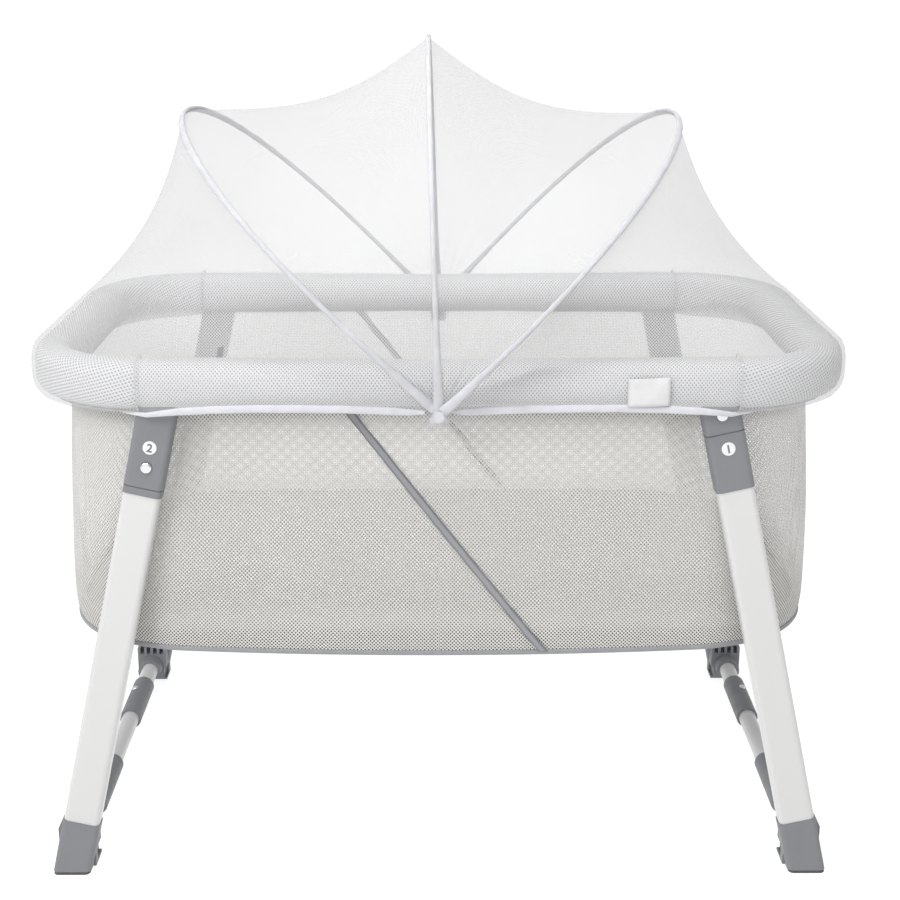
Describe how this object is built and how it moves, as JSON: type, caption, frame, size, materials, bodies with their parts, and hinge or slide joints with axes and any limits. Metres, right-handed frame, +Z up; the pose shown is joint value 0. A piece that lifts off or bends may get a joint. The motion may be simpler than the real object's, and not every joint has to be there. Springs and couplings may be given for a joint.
{
  "type": "bassinet on stand",
  "caption": "Mesh bassinet hung from a padded rim on splayed knock-down legs with floor crossbars and a three-hoop fan net canopy.",
  "frame": {"origin": "on the floor, midway between the four feet, under the middle of the basket", "axes": "+X along the basket's length, +Y from the front with the blank tag to the back, +Z up"},
  "size_m": [0.91, 0.6172, 0.9119],
  "materials": {
    "rim_fabric": "spacer mesh cover, pale cool grey",
    "basket_fabric": "open hexagonal mesh, warm pale grey",
    "foam": "soft foam",
    "grey_tape": "woven binding tape",
    "mattress_fabric": "quilted white fabric",
    "board": "plain hardboard",
    "net": "sheer white net",
    "hoop_sleeve": "glass-fibre rod in a pale fabric sleeve",
    "grey_plastic": "moulded mid grey",
    "white_tube": "smooth off-white powder coat",
    "steel_tube": "plain coated steel",
    "screw_steel": "zinc plated",
    "button_chrome": "polished",
    "foot_rubber": "matt"
  },
  "bodies": {
    "basket": {"rim_half_left": "steel_tube", "rim_half_right": "steel_tube", "rim_couplers": "grey_plastic", "rim_foam": "foam", "rim_cover": "rim_fabric", "leg_socket_1": "grey_plastic", "leg_socket_2": "grey_plastic", "leg_socket_3": "grey_plastic", "leg_socket_4": "grey_plastic", "socket_screws": "screw_steel", "basket_mesh": "basket_fabric", "basket_piping": "grey_tape", "seam_tapes": "grey_tape", "base_board": "board", "mattress": "mattress_fabric", "canopy_pivots": "grey_plastic", "pivot_caps": "grey_plastic", "net_end_left": "net"},
    "leg_front_right": {"leg_sleeve_1": "grey_plastic", "leg_tube_1": "white_tube", "leg_foot_1": "grey_plastic", "foot_pad_1": "foot_rubber", "stub_tube_1": "white_tube", "stub_socket_1": "grey_plastic", "crossbar_tube_right": "white_tube", "crossbar_plugs_right": "grey_plastic"},
    "leg_front_left": {"leg_sleeve_2": "grey_plastic", "leg_tube_2": "white_tube", "leg_foot_2": "grey_plastic", "foot_pad_2": "foot_rubber", "stub_tube_2": "white_tube", "stub_socket_2": "grey_plastic", "crossbar_tube_left": "white_tube", "crossbar_plugs_left": "grey_plastic"},
    "leg_back_left": {"leg_sleeve_3": "grey_plastic", "leg_tube_3": "white_tube", "leg_foot_3": "grey_plastic", "foot_pad_3": "foot_rubber", "stub_tube_3": "white_tube", "stub_socket_3": "grey_plastic"},
    "leg_back_right": {"leg_sleeve_4": "grey_plastic", "leg_tube_4": "white_tube", "leg_foot_4": "grey_plastic", "foot_pad_4": "foot_rubber", "stub_tube_4": "white_tube", "stub_socket_4": "grey_plastic"},
    "leg_button_1": {"leg_button_1": "button_chrome"},
    "leg_button_2": {"leg_button_2": "button_chrome"},
    "leg_button_3": {"leg_button_3": "button_chrome"},
    "leg_button_4": {"leg_button_4": "button_chrome"},
    "bar_button_1": {"bar_button_1": "button_chrome"},
    "bar_button_2": {"bar_button_2": "button_chrome"},
    "bar_button_3": {"bar_button_3": "button_chrome"},
    "bar_button_4": {"bar_button_4": "button_chrome"},
    "hoop_left": {"hoop_left": "hoop_sleeve"},
    "hoop_mid": {"hoop_mid": "hoop_sleeve", "net_gore_left": "net"},
    "hoop_right": {"hoop_right": "hoop_sleeve", "net_gore_right": "net", "net_end_right": "net"}
  },
  "joints": [
    {"name": "leg_front_right_slide", "type": "slide", "parent": "basket", "child": "leg_front_right", "axis": [0.2193, -0.039, -0.9749], "range_m": [0, 0.05], "deforming": ["leg_button_1", "leg_button_4", "bar_button_4"]},
    {"name": "leg_front_left_slide", "type": "slide", "parent": "basket", "child": "leg_front_left", "axis": [-0.2193, -0.039, -0.9749], "range_m": [0, 0.05], "deforming": ["leg_button_2", "leg_button_3", "bar_button_3"]},
    {"name": "leg_back_left_slide", "type": "slide", "parent": "basket", "child": "leg_back_left", "axis": [-0.2193, 0.039, -0.9749], "range_m": [0, 0.05], "deforming": ["leg_button_2", "leg_button_3", "bar_button_3"]},
    {"name": "leg_back_right_slide", "type": "slide", "parent": "basket", "child": "leg_back_right", "axis": [0.2193, 0.039, -0.9749], "range_m": [0, 0.05], "deforming": ["leg_button_1", "leg_button_4", "bar_button_4"]},
    {"name": "leg_button_1_press", "type": "slide", "parent": "leg_front_right", "child": "leg_button_1", "axis": [0, 0.9992, -0.04], "range_m": [0, 0.0065], "stiffness_N_per_m": 400, "springref_m": -0.002},
    {"name": "leg_button_2_press", "type": "slide", "parent": "leg_front_left", "child": "leg_button_2", "axis": [0, 0.9992, -0.04], "range_m": [0, 0.0065], "stiffness_N_per_m": 400, "springref_m": -0.002},
    {"name": "leg_button_3_press", "type": "slide", "parent": "leg_back_left", "child": "leg_button_3", "axis": [0, -0.9992, -0.04], "range_m": [0, 0.0065], "stiffness_N_per_m": 400, "springref_m": -0.002},
    {"name": "leg_button_4_press", "type": "slide", "parent": "leg_back_right", "child": "leg_button_4", "axis": [0, -0.9992, -0.04], "range_m": [0, 0.0065], "stiffness_N_per_m": 400, "springref_m": -0.002},
    {"name": "bar_button_1_press", "type": "slide", "parent": "leg_front_right", "child": "bar_button_1", "axis": [-0.342, 0, -0.9397], "range_m": [0, 0.0065], "stiffness_N_per_m": 400, "springref_m": -0.002},
    {"name": "bar_button_2_press", "type": "slide", "parent": "leg_front_left", "child": "bar_button_2", "axis": [0.342, 0, -0.9397], "range_m": [0, 0.0065], "stiffness_N_per_m": 400, "springref_m": -0.002},
    {"name": "bar_button_3_press", "type": "slide", "parent": "leg_front_left", "child": "bar_button_3", "axis": [0.342, 0, -0.9397], "range_m": [0, 0.0065], "stiffness_N_per_m": 400, "springref_m": -0.002},
    {"name": "bar_button_4_press", "type": "slide", "parent": "leg_front_right", "child": "bar_button_4", "axis": [-0.342, 0, -0.9397], "range_m": [0, 0.0065], "stiffness_N_per_m": 400, "springref_m": -0.002},
    {"name": "hoop_left_turn", "type": "hinge", "parent": "basket", "child": "hoop_left", "pos_m": [0, 0, 0.543], "axis": [0, 1, 0], "range_deg": [-28, 0], "deforming": ["net_end_left", "net_end_right", "net_gore_left", "net_gore_right"]},
    {"name": "hoop_mid_turn", "type": "hinge", "parent": "hoop_left", "child": "hoop_mid", "pos_m": [0, 0, 0.543], "axis": [0, 1, 0], "range_deg": [-42, 0], "deforming": ["net_gore_left", "net_gore_right", "net_end_right", "net_end_left"]},
    {"name": "hoop_right_turn", "type": "hinge", "parent": "hoop_mid", "child": "hoop_right", "pos_m": [0, 0, 0.543], "axis": [0, 1, 0], "range_deg": [-40, 0], "deforming": ["net_gore_right", "net_end_right", "net_gore_left", "net_end_left"]}
  ],
  "couplings": [
    {"joint": "leg_back_right_slide", "follows": "leg_front_right_slide", "ratio": 1},
    {"joint": "leg_back_left_slide", "follows": "leg_front_left_slide", "ratio": 1},
    {"joint": "hoop_right_turn", "follows": "hoop_mid_turn", "ratio": 0.95}
  ]
}
